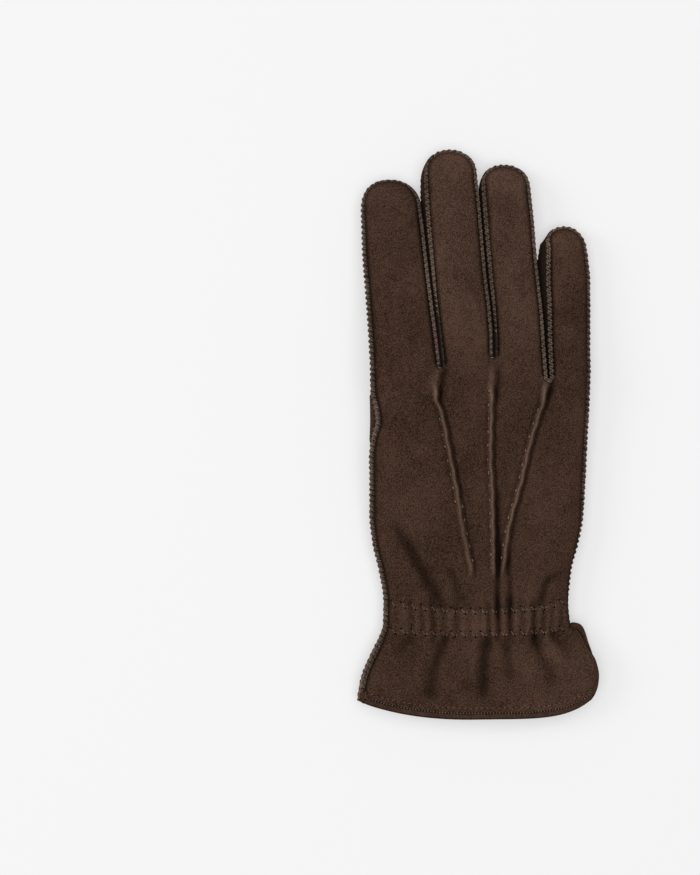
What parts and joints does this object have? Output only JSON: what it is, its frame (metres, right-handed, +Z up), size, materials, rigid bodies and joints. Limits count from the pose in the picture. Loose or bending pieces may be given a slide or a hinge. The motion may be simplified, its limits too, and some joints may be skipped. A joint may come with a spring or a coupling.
{
  "type": "suede dress glove",
  "caption": "Right-hand suede dress glove, palm down, with fourchettes, three raised tucks, a gathered wrist and a vented, bound cuff.",
  "frame": {"origin": "middle of the glove's outline, on the table that it lies on", "axes": "+Y from the cuff to the fingertips, +X from the index side to the little-finger side, +Z up from the table; the back of the glove faces up"},
  "size_m": [0.1106, 0.2629, 0.0233],
  "materials": {
    "suede": "dark brown suede, soft short nap, matt",
    "suede_palm": "dark brown suede, soft short nap, matt",
    "suede_fourchette": "dark brown suede, matt",
    "edge_binding": "dark brown suede strip, pressed flat by its stitching",
    "thread": "twisted brown sewing thread"
  },
  "bodies": {
    "root": {"back_panel": "suede", "palm_panel": "suede_palm", "thumb": "suede_palm", "fourchette_index_middle": "suede_fourchette", "fourchette_middle_ring": "suede_fourchette", "fourchette_ring_little": "suede_fourchette", "binding_back": "edge_binding", "binding_palm": "edge_binding"}
  },
  "joints": []
}
